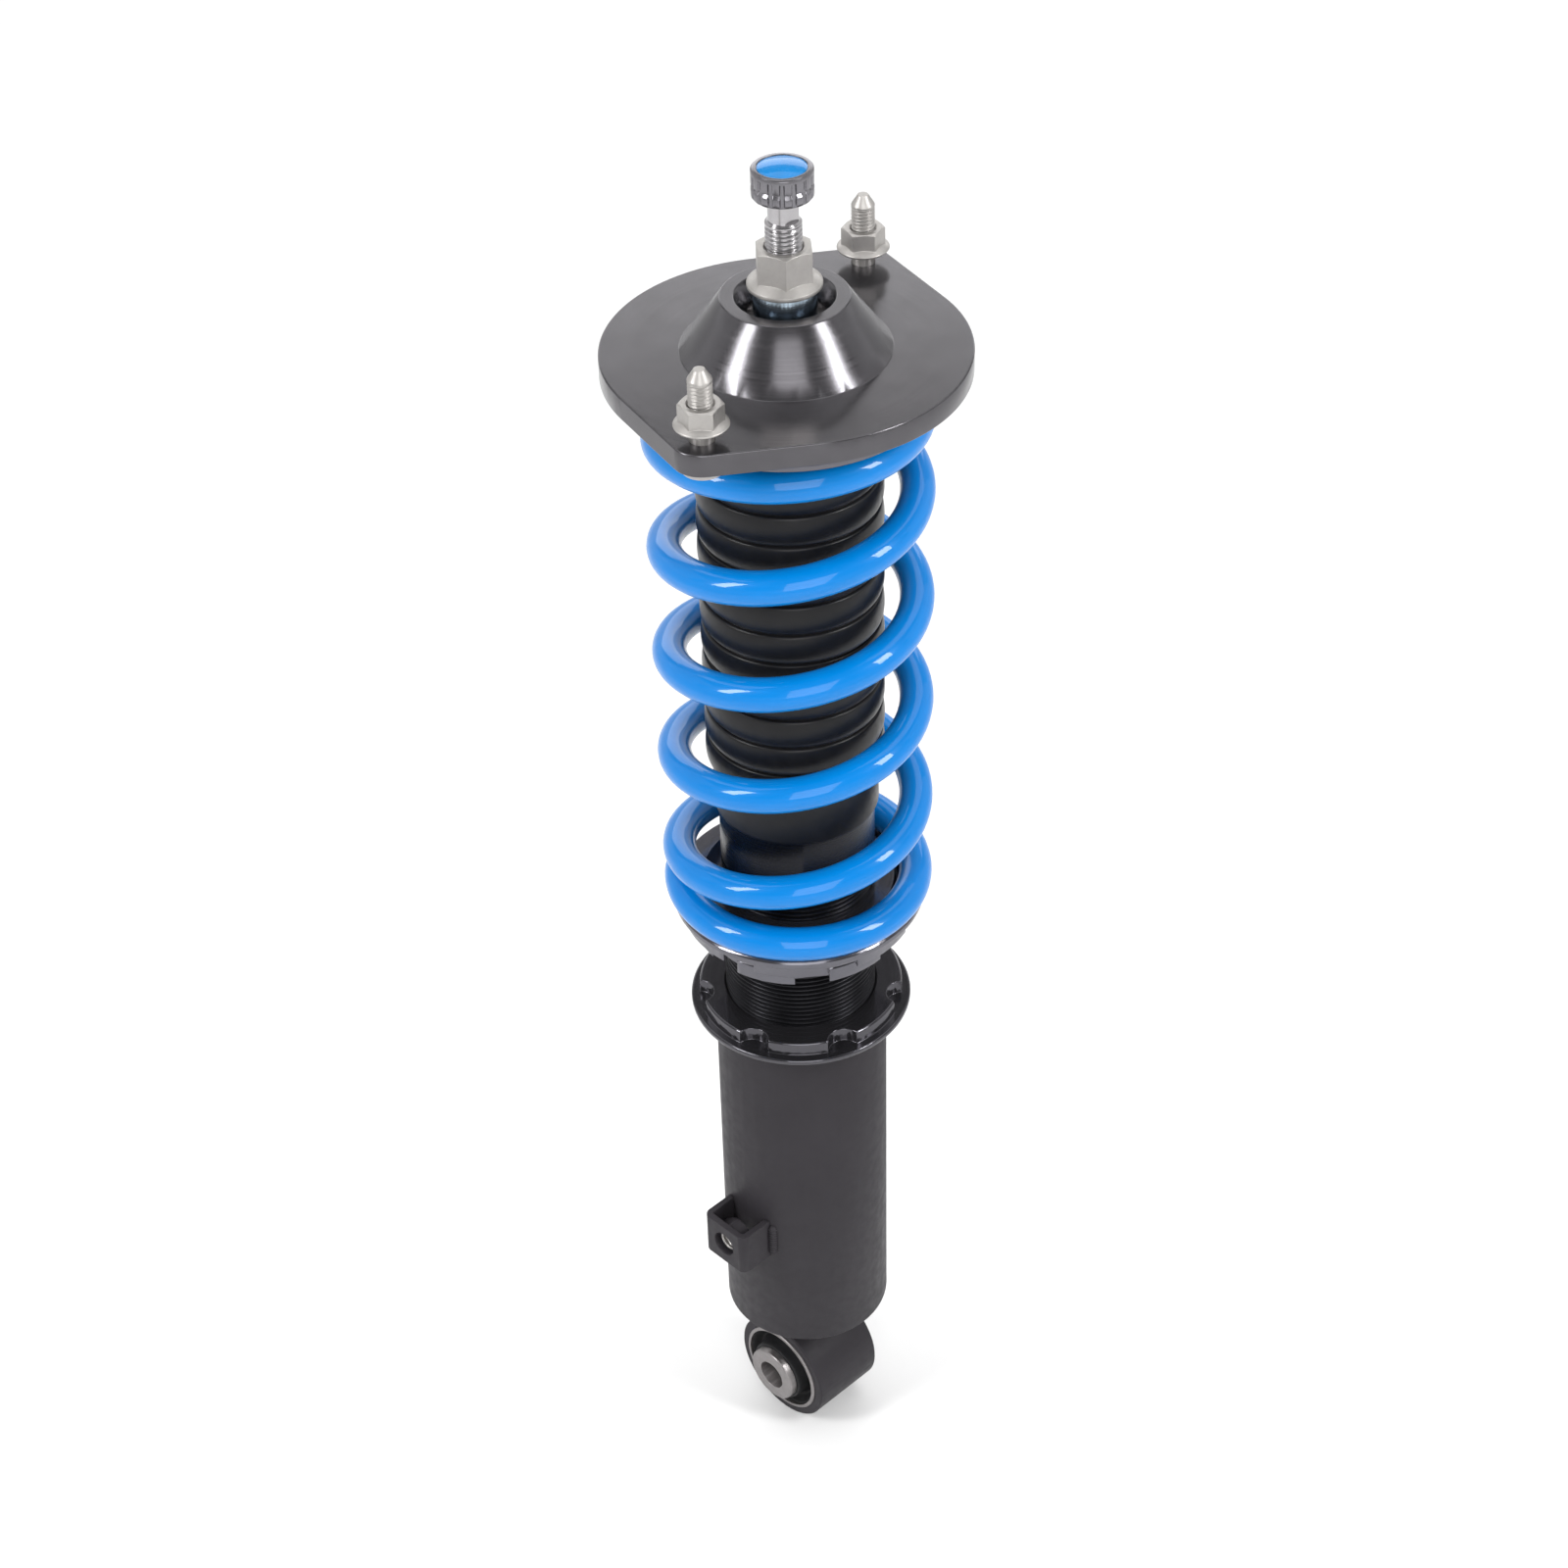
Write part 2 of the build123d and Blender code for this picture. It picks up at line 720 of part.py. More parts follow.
with BuildPart() as adjuster_shaft:
    turn((0, needle_top + 3), (2.5, needle_top + 3), (2.5, rod_top + 3), (0, rod_top + 3))
save(adjuster_shaft, "adjuster_shaft")

with BuildPart() as metering_needle:
    turn((0, needle_bottom), (needle_tip, needle_bottom), (shaft_bore - RUN, orifice_top + 8),
         (shaft_bore - RUN, needle_top), (0, needle_top))
save(metering_needle, "metering_needle")

# ---- Pillow-ball mount -----------------------------------------------------------------------

liner_inner = ball_radius + RUN
liner_outer = liner_inner + liner_thickness
race_inner = liner_outer + RUN
with BuildPart() as bearing_liner:
    with Locations((0, 0, ball_height)):
        Sphere(liner_outer)
        Box(4 * ball_radius, 4 * ball_radius, 10, mode=Mode.INTERSECT)
        Sphere(liner_inner, mode=Mode.SUBTRACT)
save(bearing_liner, "bearing_liner")

with BuildPart() as bearing_race:
    with Locations((0, 0, ball_height)):
        Cylinder(race_radius, 2 * race_half_height)
        Sphere(race_inner, mode=Mode.SUBTRACT)
    circles = bearing_race.edges().filter_by(GeomType.CIRCLE)
    rims = circles.filter_by(lambda e: e.radius > race_radius - 0.1)
    chamfer(rims, 0.5)
save(bearing_race, "bearing_race")

housing_bore = race_radius + RUN
race_seat = ball_height + race_half_height + RUN
snap_high = ball_height - race_half_height - RUN
snap_low = snap_high - snap_ring_thickness
with BuildPart() as top_plate:
    with BuildSketch(Plane.XY.offset(plate_bottom)):
        with BuildLine():
            hull_reach = plate_radius - corner_radius
            hull_lean = degrees(atan2(sqrt(stud_circle**2 - hull_reach**2), hull_reach))
            corners = []
            for stud_angle in (stud_direction, stud_direction + 180):
                for lean in (-hull_lean, hull_lean):
                    along = stud_angle + lean
                    centre = polar(stud_circle, stud_angle)
                    touch = polar(corner_radius, along)
                    corners.append((centre[0] + touch[0], centre[1] + touch[1]))
                    corners.append(polar(plate_radius, along)[:2])
            tip_radius = stud_circle + corner_radius
            tip = [polar(tip_radius, stud_direction + half)[:2] for half in (0, 180)]
            side = [polar(plate_radius, stud_direction + half)[:2] for half in (90, 270)]
            ThreePointArc(corners[0], tip[0], corners[2])
            Line(corners[2], corners[3])
            ThreePointArc(corners[3], side[0], corners[5])
            Line(corners[5], corners[4])
            ThreePointArc(corners[4], tip[1], corners[6])
            Line(corners[6], corners[7])
            ThreePointArc(corners[7], side[1], corners[1])
            Line(corners[1], corners[0])
        make_face()
    extrude(amount=plate_top - plate_bottom)
    chamfer(top_plate.faces().sort_by(Axis.Z)[-1].outer_wire().edges(), plate_break)
    chamfer(top_plate.faces().sort_by(Axis.Z)[0].outer_wire().edges(), plate_break)
    turn((0, plate_top), (cone_base_radius, plate_top), (cone_top_radius, cone_top - plate_break),
         (cone_top_radius - plate_break, cone_top), (0, cone_top))
    turn(
        (0, plate_bottom - 1),
        (housing_bore, plate_bottom - 1),
        (housing_bore, snap_low),
        (housing_bore + 0.9, snap_low),
        (housing_bore + 0.9, snap_high),
        (housing_bore, snap_high),
        (housing_bore, race_seat),
        (cone_throat, race_seat),
        (cone_throat, throat_height),
        (cone_mouth, cone_top),
        (cone_mouth, cone_top + 1),
        (0, cone_top + 1),
        mode=Mode.SUBTRACT,
    )
    with BuildSketch(Plane.XY.offset(plate_bottom)):
        with PolarLocations(stud_circle, 2, start_angle=stud_direction):
            Circle(stud_radius)
    extrude(amount=plate_top - plate_bottom, mode=Mode.SUBTRACT)
save(top_plate, "top_plate")

with BuildPart() as snap_ring:
    with BuildSketch(Plane.XY.offset(snap_low)):
        Circle(housing_bore + 0.85)
        Circle(race_radius - 1.5, mode=Mode.SUBTRACT)
        with Locations((0, race_radius)):
            Rectangle(5, 6, mode=Mode.SUBTRACT)
    extrude(amount=snap_ring_thickness)
save(snap_ring, "snap_ring")

stud_centres = [polar(stud_circle, stud_direction + half)[:2] for half in (0, 180)]
with BuildPart() as top_studs:
    for centre in stud_centres:
        stud_axis = Axis((*centre, 0), (0, 0, 1))
        section_plane = Plane(origin=(*centre, 0), x_dir=(1, 0, 0), z_dir=(0, -1, 0))
        with BuildSketch(section_plane, mode=Mode.PRIVATE) as stud_section:
            with BuildLine():
                Polyline(
                    (0, plate_bottom - stud_head),
                    (stud_head_radius - 0.6, plate_bottom - stud_head),
                    (stud_head_radius, plate_bottom - stud_head + 0.6),
                    (stud_head_radius, plate_bottom),
                    (stud_radius, plate_bottom),
                    (stud_radius, stud_top - stud_cone),
                    (stud_tip, stud_top - 0.3),
                    (stud_tip - 0.3, stud_top),
                    (0, stud_top),
                    close=True,
                )
            make_face()
        revolve(stud_section.sketch, axis=stud_axis)
save(top_studs, "top_studs")

with BuildPart() as stud_nuts:
    both_nuts = []
    for centre in stud_centres:
        with BuildPart(mode=Mode.PRIVATE) as one_nut:
            flange_nut(centre, stud_nut_bottom, stud_nut_height, stud_radius, stud_nut_flats,
                       stud_nut_flange, stud_nut_phase)
        both_nuts.append(one_nut.part)
    add(both_nuts)
save(stud_nuts, "stud_nuts")
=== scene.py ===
import json
import math

import bmesh
import bpy
import numpy as np
from mathutils import Matrix, Vector


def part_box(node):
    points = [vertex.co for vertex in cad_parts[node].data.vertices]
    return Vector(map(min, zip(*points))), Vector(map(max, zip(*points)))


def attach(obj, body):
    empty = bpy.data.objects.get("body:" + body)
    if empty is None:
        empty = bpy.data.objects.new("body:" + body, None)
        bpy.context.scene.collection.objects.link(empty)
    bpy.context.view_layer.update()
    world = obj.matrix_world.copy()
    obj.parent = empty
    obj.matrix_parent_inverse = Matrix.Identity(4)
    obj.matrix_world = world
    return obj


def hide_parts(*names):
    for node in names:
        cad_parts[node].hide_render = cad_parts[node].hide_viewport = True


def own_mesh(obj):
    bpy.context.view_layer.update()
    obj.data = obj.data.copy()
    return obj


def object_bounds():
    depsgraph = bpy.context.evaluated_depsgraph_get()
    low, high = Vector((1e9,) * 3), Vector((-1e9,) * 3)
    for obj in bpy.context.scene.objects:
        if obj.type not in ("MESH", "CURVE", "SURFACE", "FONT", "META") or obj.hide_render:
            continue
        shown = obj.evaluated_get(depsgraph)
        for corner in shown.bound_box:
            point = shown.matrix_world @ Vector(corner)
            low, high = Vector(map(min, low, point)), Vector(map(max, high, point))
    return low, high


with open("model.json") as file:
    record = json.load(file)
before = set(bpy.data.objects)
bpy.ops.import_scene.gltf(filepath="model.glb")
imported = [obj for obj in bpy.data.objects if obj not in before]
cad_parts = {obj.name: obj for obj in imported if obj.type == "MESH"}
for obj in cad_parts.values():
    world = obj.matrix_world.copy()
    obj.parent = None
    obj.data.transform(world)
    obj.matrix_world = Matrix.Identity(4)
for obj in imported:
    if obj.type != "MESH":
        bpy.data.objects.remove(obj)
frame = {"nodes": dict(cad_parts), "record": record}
cad_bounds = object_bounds()

MM = 0.001
FULL_TURN = 2 * math.pi

# ---- Sizes that the frame's boxes don't give, in millimetres and degrees -----------------------
WIRE = 6.0  # radius of the spring's wire
COIL_PITCH = 43.0
OPEN_TURNS = 4.0
RISING_TURNS = 0.5
CLOSED_TURNS = 0.44
COIL_TIP_ANGLE = 222.5
BODY_THREAD = {"pitch": 2.0, "depth": 1.15, "low": 180.0, "high": 267.5}
ROD_THREAD = {"pitch": 1.5, "depth": 0.7, "low": 499.0, "high": 520.0}
STUD_THREAD = {"pitch": 1.25, "depth": 0.62, "low": 478.4, "high": 496.5}
CUFF_TOP = 311.2
RIB_PITCH = 11.8
BOOT_BORE = 28.15
STUD_CIRCLE = 62.0
STUD_DIRECTION = 110.6
BODY_BORE = 23.0

# One turn of thread from crest to crest: share of the pitch, share of the depth.
THREAD_FORM = (
    (0.0, 0.0), (0.11, 0.0), (0.14, 0.05), (0.44, 0.95), (0.47, 1.0), (0.63, 1.0), (0.66, 0.95), (0.96, 0.05),
)

# ---- Tolerances and fineness of the meshes -----------------------------------------------------
WELD_GAP = 3e-6
THIN_EDGE = 1e-6
SMOOTH_ANGLE = 34  # edges sharper than this stay sharp, unless a piece gives its own
SOFT_SHAPE_ANGLE = 50  # for rubber and foam
COIL_STATIONS = 96  # along each turn of the spring
WIRE_COLUMNS = 36
BEAD_COLUMNS = 20


# ---- Mesh helpers: points in millimetres, pieces in metres -------------------------------------
def around(columns):
    """Equally spaced angles of a full turn."""
    return np.arange(columns) * (FULL_TURN / columns)


def outline(radius, angle, height, centre=(0.0, 0.0)):
    """Points at radii and angles round a vertical axis, at one height or at a height each."""
    return np.stack([centre[0] + radius * np.cos(angle), centre[1] + radius * np.sin(angle),
                     np.broadcast_to(height, angle.shape)], 1)


def ring(radius, height, columns, centre=(0.0, 0.0)):
    """A circle of points round a vertical axis."""
    return outline(np.full(columns, radius), around(columns), height, centre)


def skin(rings, close=False):
    """Points and faces of the surface through successive rings of equal length."""
    count, columns = len(rings), len(rings[0])
    faces = []
    for row in range(count if close else count - 1):
        here, there = row * columns, (row + 1) % count * columns
        for column in range(columns):
            after = (column + 1) % columns
            faces.append((here + column, here + after, there + after, there + column))
    return np.concatenate(rings), faces


def lathe(profile, columns, centre=(0.0, 0.0), close=False):
    """The surface of a profile of (radius, height) turned round a vertical axis."""
    return skin([ring(radius, height, columns, centre) for radius, height in profile], close)


def thread(plain, pitch, depth, low, high, columns, centre=(0.0, 0.0)):
    """A right-hand thread cut into a plain radius between two heights, running out at both ends.
    A negative depth cuts it outwards, into the wall of a bore."""
    turn = len(THREAD_FORM)
    rows = turn * (math.ceil((high - low) / pitch) + 2)
    share = np.arange(columns) / columns
    points = []
    for row in range(rows + turn):
        along, cut = THREAD_FORM[row % turn]
        height = low - pitch + pitch * (row // turn + along + share)
        height = np.clip(height, low, high)
        fade = np.clip(np.minimum(height - low, high - height) / pitch, 0, 1)
        radius = plain - depth * cut * fade * fade * (3 - 2 * fade)
        points.append(outline(radius, around(columns), height, centre))
    faces = []
    for row in range(rows - 1):
        for start in range(columns):
            if start < columns - 1:
                corners = (row, start), (row, start + 1), (row + 1, start + 1), (row + 1, start)
            else:
                corners = (row, start), (row + turn, 0), (row + 1 + turn, 0), (row + 1, start)
            faces.append(tuple(r * columns + c for r, c in corners))
    return np.concatenate(points), faces


def joined(*shells):
    """One shell out of several."""
    points, faces, base = [], [], 0
    for shell_points, shell_faces in shells:
        points.append(shell_points)
        faces += [tuple(base + corner for corner in face) for face in shell_faces]
        base += len(shell_points)
    return np.concatenate(points), faces


def smooth_path(stops, steps):
    """More points on a smooth line through the stops, with so many steps between each two."""
    stops = [np.array(stop, float) for stop in stops]
    padded = [2 * stops[0] - stops[1]] + stops + [2 * stops[-1] - stops[-2]]
    line = []
    for before, start, end, after in zip(padded, padded[1:], padded[2:], padded[3:]):
        for step in range(steps):
            t = step / steps
            line.append(
                0.5 * (2 * start + (end - before) * t + (2 * before - 5 * start + 4 * end - after) * t**2
                       + (3 * start - before - 3 * end + after) * t**3)
            )
    return [tuple(stop) for stop in line + [stops[-1]]]


def make(name, shell, body, nodes, finish, sharp=SMOOTH_ANGLE, place=None):
    """A piece from a shell, welded shut, on its body, in the place of the CAD nodes it stands for."""
    points, faces = shell
    mesh = bpy.data.meshes.new(name)
    mesh.from_pydata([tuple(point) for point in points * MM], [], faces)
    if place is not None:
        mesh.transform(place)
    work = bmesh.new()
    work.from_mesh(mesh)
    bmesh.ops.remove_doubles(work, verts=work.verts, dist=WELD_GAP)
    bmesh.ops.dissolve_degenerate(work, edges=work.edges, dist=THIN_EDGE)
    bmesh.ops.recalc_face_normals(work, faces=work.faces)
    work.to_mesh(mesh)
    work.free()
    mesh.shade_smooth()
    mesh.set_sharp_from_angle(angle=math.radians(sharp))
    piece = bpy.data.objects.new(name, mesh)
    bpy.context.scene.collection.objects.link(piece)
    mesh.materials.append(finish)
    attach(piece, body)
    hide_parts(*nodes)
    return piece


# ---- Materials ---------------------------------------------------------------------------------
NOISE_ROUGHNESS = 0.55
NOISE_NEAR, NOISE_FAR = 0.3, 0.7  # the middle range that most of a noise's values lie in


class Finish:
    """A principled material whose tone, gloss and relief vary over the surface."""

    def __init__(self, name, colour, rough, metallic=0.0, **sockets):
        self.material = bpy.data.materials.new(name)
        self.material.use_nodes = True
        self.tree = self.material.node_tree
        self.shader = self.tree.nodes["Principled BSDF"]
        self.colour = colour
        self.shader.inputs["Base Color"].default_value = (*colour, 1)
        self.shader.inputs["Roughness"].default_value = rough
        self.shader.inputs["Metallic"].default_value = metallic
        for socket, value in sockets.items():
            self.shader.inputs[socket.replace("_", " ")].default_value = value
        self.place = self.add("ShaderNodeTexCoord").outputs["Object"]
        self.bump = None

    def add(self, kind, **settings):
        """A new node with its settings."""
        node = self.tree.nodes.new(kind)
        for key, value in settings.items():
            setattr(node, key, value)
        return node

    def link(self, source, target):
        self.tree.links.new(source, target)

    def turned(self):
        """Coordinates of radius and height only, which make rings like a lathe's marks."""
        split = self.add("ShaderNodeSeparateXYZ")
        self.link(self.place, split.inputs[0])
        flat = self.add("ShaderNodeCombineXYZ")
        self.link(split.outputs["X"], flat.inputs["X"])
        self.link(split.outputs["Y"], flat.inputs["Y"])
        length = self.add("ShaderNodeVectorMath", operation="LENGTH")
        self.link(flat.outputs[0], length.inputs[0])
        both = self.add("ShaderNodeCombineXYZ")
        self.link(length.outputs["Value"], both.inputs["X"])
        self.link(split.outputs["Z"], both.inputs["Z"])
        return both.outputs[0]

    def noise(self, size, detail, place=None):
        """Noise with features of a size in millimetres."""
        node = self.add("ShaderNodeTexNoise")
        self.link(place or self.place, node.inputs["Vector"])
        node.inputs["Scale"].default_value = 1.0 / (size * MM)
        node.inputs["Detail"].default_value = detail
        node.inputs["Roughness"].default_value = NOISE_ROUGHNESS
        return node.outputs["Fac"]

    def spread(self, source, low, high):
        """A value spread from low to high over the noise's middle range."""
        node = self.add("ShaderNodeMapRange")
        self.link(source, node.inputs["Value"])
        node.inputs["From Min"].default_value = NOISE_NEAR
        node.inputs["From Max"].default_value = NOISE_FAR
        node.inputs["To Min"].default_value = low
        node.inputs["To Max"].default_value = high
        return node.outputs["Result"]

    def tone(self, source, swing):
        """Colour that swings darker and lighter round the base by a share of it."""
        node = self.add("ShaderNodeMix", data_type="RGBA")
        self.link(self.spread(source, 0.0, 1.0), node.inputs["Factor"])
        node.inputs["A"].default_value = (*[channel * (1 - swing) for channel in self.colour], 1)
        node.inputs["B"].default_value = (*[min(1, channel * (1 + swing)) for channel in self.colour], 1)
        self.link(node.outputs["Result"], self.shader.inputs["Base Color"])
        return self

    def gloss(self, source, low, high):
        """Roughness that varies between two values."""
        self.link(self.spread(source, low, high), self.shader.inputs["Roughness"])
        return self

    def relief(self, source, height):
        """Relief of a height in millimetres, over any relief added before."""
        node = self.add("ShaderNodeBump")
        self.link(source, node.inputs["Height"])
        node.inputs["Distance"].default_value = height * MM
        node.inputs["Strength"].default_value = 1.0
        if self.bump is not None:
            self.link(self.bump, node.inputs["Normal"])
        self.bump = node.outputs["Normal"]
        self.link(self.bump, self.shader.inputs["Normal"])
        return self


def paint():
    """Satin black paint with a fine orange peel."""
    f = Finish("tube_paint", (0.0275, 0.025, 0.029), 0.52, Specular_IOR_Level=0.15)
    f.tone(f.noise(26, 2), 0.06)
    f.gloss(f.noise(4, 3), 0.44, 0.56)
    return f.relief(f.noise(0.9, 2), 0.012).relief(f.noise(0.22, 2), 0.004).material


def anodised(name, colour, rough, mark):
    """Turned and anodised aluminium, with rings of fine tool marks."""
    f = Finish(name, colour, rough, 0.85)
    rings = f.turned()
    f.tone(f.noise(14, 2), 0.08)
    f.gloss(f.noise(0.5, 4, rings), rough - 0.05, rough + 0.06)
    return f.relief(f.noise(0.14, 3, rings), mark).material


def powder():
    """Glossy blue powder coat."""
    f = Finish("spring_powder_coat", (0.0, 0.18, 0.54), 0.3, Specular_IOR_Level=0.1, Coat_Weight=0.5,
               Coat_Roughness=0.02, Coat_IOR=1.5)
    f.tone(f.noise(18, 2), 0.02)
    f.gloss(f.noise(2.4, 3), 0.28, 0.36)
    return f.relief(f.noise(3.0, 1), 0.004).material


def rubber(name, colour, low, high, grain, **sockets):
    """Moulded rubber or plastic between two roughnesses, with a grain and a slow waviness."""
    f = Finish(name, colour, (low + high) / 2, **sockets)
    f.tone(f.noise(9, 4), 0.18)
    f.gloss(f.noise(3, 5), low, high)
    return f.relief(f.noise(grain, 3), 0.012).relief(f.noise(6, 3), 0.03).material


def steel(name, colour, rough, swing, grain, depth, metallic=1.0):
    """Plain or plated steel with a grain."""
    f = Finish(name, colour, rough, metallic)
    f.tone(f.noise(3.5, 5), swing)
    f.gloss(f.noise(1.2, 4), rough - 0.06, rough + 0.08)
    return f.relief(f.noise(grain, 3), depth).material


def turned_steel(name, colour, rough, swing, depth):
    """Turned or ground metal, with rings of fine tool marks."""
    f = Finish(name, colour, rough, 1.0)
    rings = f.turned()
    f.tone(f.noise(5, 3), swing)
    f.gloss(f.noise(0.6, 4, rings), rough - 0.04, rough + 0.06)
    return f.relief(f.noise(0.18, 3, rings), depth).material


def cap_lacquer():
    """A domed clear coat over a plain blue disc."""
    f = Finish("cap_lacquer", (0.0, 0.17, 0.46), 0.25, Specular_IOR_Level=0.1, Coat_Weight=0.45,
               Coat_Roughness=0.02)
    f.tone(f.noise(6, 2), 0.06)
    f.gloss(f.noise(2, 2), 0.22, 0.30)
    return f.relief(f.noise(3.0, 1), 0.004).material


FINISHES = {
    "black_painted_tube": paint(),
    "black_anodised": anodised("black_anodised", (0.13, 0.128, 0.145), 0.16, 0.0015),
    "grey_anodised": anodised("grey_anodised", (0.095, 0.092, 0.099), 0.2, 0.0012),
    "zinc_steel": steel("zinc_plate", (0.40, 0.385, 0.37), 0.43, 0.05, 0.35, 0.003, 0.9),
    "bush_steel": steel("bush_steel", (0.27, 0.255, 0.255), 0.4, 0.08, 0.4, 0.008),
    "chrome_rod": turned_steel("chrome", (0.42, 0.41, 0.42), 0.22, 0.03, 0.0015),
    "blued_steel": turned_steel("blued_steel", (0.38, 0.46, 0.53), 0.2, 0.10, 0.0012),
    "bearing_steel": turned_steel("bearing_steel", (0.62, 0.60, 0.58), 0.2, 0.04, 0.001),
    "blue_powder_coat": powder(),
    "boot_rubber": rubber("boot_rubber", (0.0065, 0.0063, 0.007), 0.28, 0.4, 0.5,
                          Specular_IOR_Level=0.25),
    "bush_rubber": rubber("bush_rubber", (0.010, 0.010, 0.011), 0.5, 0.66, 0.4,
                          Specular_IOR_Level=0.25),
    "seal_rubber": rubber("seal_rubber", (0.008, 0.008, 0.009), 0.4, 0.55, 0.3),
    "urethane": rubber("urethane", (0.55, 0.45, 0.18), 0.5, 0.65, 0.8),
    "alloy": turned_steel("machined_alloy", (0.60, 0.60, 0.61), 0.3, 0.03, 0.003),
    "ptfe": rubber("ptfe", (0.35, 0.30, 0.22), 0.4, 0.5, 0.6),
    "brass": turned_steel("brass", (0.62, 0.43, 0.14), 0.25, 0.05, 0.002),
    "blue_cap": cap_lacquer(),
}
# The same slots' finish, but darker or lighter as painted light and shade: darker on the lock collar and the
# threaded body as painted shade, lighter on the knob as painted light.
COLLAR_SHADED_FINISH = anodised("collar_anodised_painted_shade", (0.08, 0.078, 0.087), 0.13, 0.0012)
BODY_SHADED_FINISH = anodised("thread_anodised_painted_shade", (0.02, 0.02, 0.023), 0.28, 0.001)
KNOB_LIT_FINISH = anodised("knob_anodised_painted_light", (0.19, 0.185, 0.20), 0.22, 0.002)

# ---- CAD nodes that stay: softened edges and their finish --------------------------------------
NODE_SLOT = {part["node"]: part["material_slot"] for part in frame["record"]["subparts"]}
# The lock collar takes the darker copy of its finish, with painted shade.
NODE_SHADED_FINISH = {"bracket_lock_collar": COLLAR_SHADED_FINISH}
EDGE_WELD = 2e-6
EDGE_ANGLE = 28  # degrees from which an edge is softened
SOFT_EDGES = {  # width in millimetres
    "rod_nut": 0.3, "stud_nuts": 0.25, "top_plate": 0.2, "bracket_lock_collar": 0.28, "perch_lock_ring": 0.2,
    "spring_perch": 0.15, "hose_bracket": 0.4, "lower_tube": 0.3, "bush_inner_sleeve": 0.15,
    "bush_outer_sleeve": 0.15, "eye_ring": 0.3, "upper_spacer": 0.2, "knob_cap": 0.15,
    "upper_spring_seat": 0.3,
}
for node, cad in frame["nodes"].items():
    cad.data.materials.clear()
    cad.data.materials.append(NODE_SHADED_FINISH.get(node, FINISHES[NODE_SLOT[node]]))
    if node in SOFT_EDGES:
        weld = cad.modifiers.new("weld", "WELD")
        weld.merge_threshold = EDGE_WELD
        bevel = cad.modifiers.new("edges", "BEVEL")
        bevel.width = SOFT_EDGES[node] * MM
        bevel.segments = 2
        bevel.limit_method = "ANGLE"
        bevel.angle_limit = math.radians(EDGE_ANGLE)
        bevel.harden_normals = True
        bevel.miter_outer = "MITER_ARC"

# ---- Coil spring -------------------------------------------------------------------------------
coil_low, coil_high = (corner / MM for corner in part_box("coil_spring"))
coil_turns = OPEN_TURNS + 2 * RISING_TURNS + 2 * CLOSED_TURNS
coil_rise = COIL_PITCH * (OPEN_TURNS + RISING_TURNS)
coil_radius = coil_high.x - WIRE


def coil_height(turns):
    """Rise of the wire's centre after a number of turns from the lower tip."""
    if turns > coil_turns / 2:
        return coil_rise - coil_height(coil_turns - turns)
    if turns < CLOSED_TURNS:
        return 0.0
    if turns < CLOSED_TURNS + RISING_TURNS:
        return COIL_PITCH * (turns - CLOSED_TURNS) ** 2 / (2 * RISING_TURNS)
    return COIL_PITCH * (turns - CLOSED_TURNS - RISING_TURNS / 2)


def coil_slope(turns):
    """Rise for each turn at a number of turns from the lower tip."""
    step = 1e-4
    return (coil_height(turns + step) - coil_height(turns - step)) / (2 * step)


def spring_shell():
    """Round wire wound from tip to tip, with each cut end slightly rounded."""
    steps = round(coil_turns * COIL_STATIONS)
    section = around(WIRE_COLUMNS)
    rings = []
    edge = 0.6
    ends = ((0.0, 0.02), (0.0, WIRE - edge), (edge * 0.3, WIRE - edge * 0.3))
    stations = [(0.0, back, radius) for back, radius in ends]
    stations += [(coil_turns * step / steps, None, WIRE) for step in range(1, steps)]
    stations += [(coil_turns, -back, radius) for back, radius in reversed(ends)]
    for turns, back, radius in stations:
        angle = math.radians(COIL_TIP_ANGLE + 360 * turns)
        outward = np.array([math.cos(angle), math.sin(angle), 0.0])
        slope = coil_slope(turns) if back is None else 0.0
        along = np.array([-math.sin(angle), math.cos(angle), slope / (FULL_TURN * coil_radius)])
        along /= np.linalg.norm(along)
        upward = np.cross(outward, along)
        middle = outward * coil_radius
        middle[2] = coil_low.z + WIRE + coil_height(turns)
        middle = middle + along * (back or 0.0)
        spokes = np.outer(np.cos(section), outward) + np.outer(np.sin(section), upward)
        rings.append(middle + radius * spokes)
    return skin(rings)


spring = make("spring_coil", spring_shell(), "spring", ["coil_spring"],
              FINISHES["blue_powder_coat"])
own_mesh(spring)

# ---- Dust boot ---------------------------------------------------------------------------------
boot_low, boot_high = (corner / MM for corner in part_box("dust_boot"))


def boot_shell():
    """Moulded bellows: broad bands, each with a shoulder, between narrow grooves, over a plain cuff."""
    thickness = 1.4
    band = (  # distance down from the groove above, radius
        (0.0, 30.1), (0.15, 30.5), (0.4, 30.95), (0.8, 31.2), (1.6, 31.38), (3.2, 31.62),
        (5.0, 31.77), (6.8, 31.8), (8.6, 31.66), (10.0, 31.35), (10.9, 30.9), (11.4, 30.4),
    )
    ribs = int((boot_high.z - 6 - CUFF_TOP) / RIB_PITCH)
    top = CUFF_TOP + ribs * RIB_PITCH
    outer = [(29.9, boot_high.z), (29.9, boot_high.z - 2), (29.6, top + 4), (29.7, top + 1)]
    for rib in range(ribs):
        outer += [(radius, top - rib * RIB_PITCH - down) for down, radius in band]
    outer += [(29.9, CUFF_TOP), (29.45, CUFF_TOP - 1.0), (29.5, CUFF_TOP - 3), (29.58, boot_low.z + 3),
              (29.6, boot_low.z + 0.6), (29.3, boot_low.z)]
    outer = smooth_path(outer, 3)
    inner = [(radius - thickness, height) for radius, height in reversed(outer) if height > CUFF_TOP]
    inner = [(max(radius, BOOT_BORE), height) for radius, height in inner]
    cuff = [(BOOT_BORE, boot_low.z), (BOOT_BORE, CUFF_TOP - thickness)]
    return lathe(outer + cuff + inner, 144, close=True)


boot = make("boot_bellows", boot_shell(), "damper", ["dust_boot"], FINISHES["boot_rubber"],
            SOFT_SHAPE_ANGLE)
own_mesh(boot)

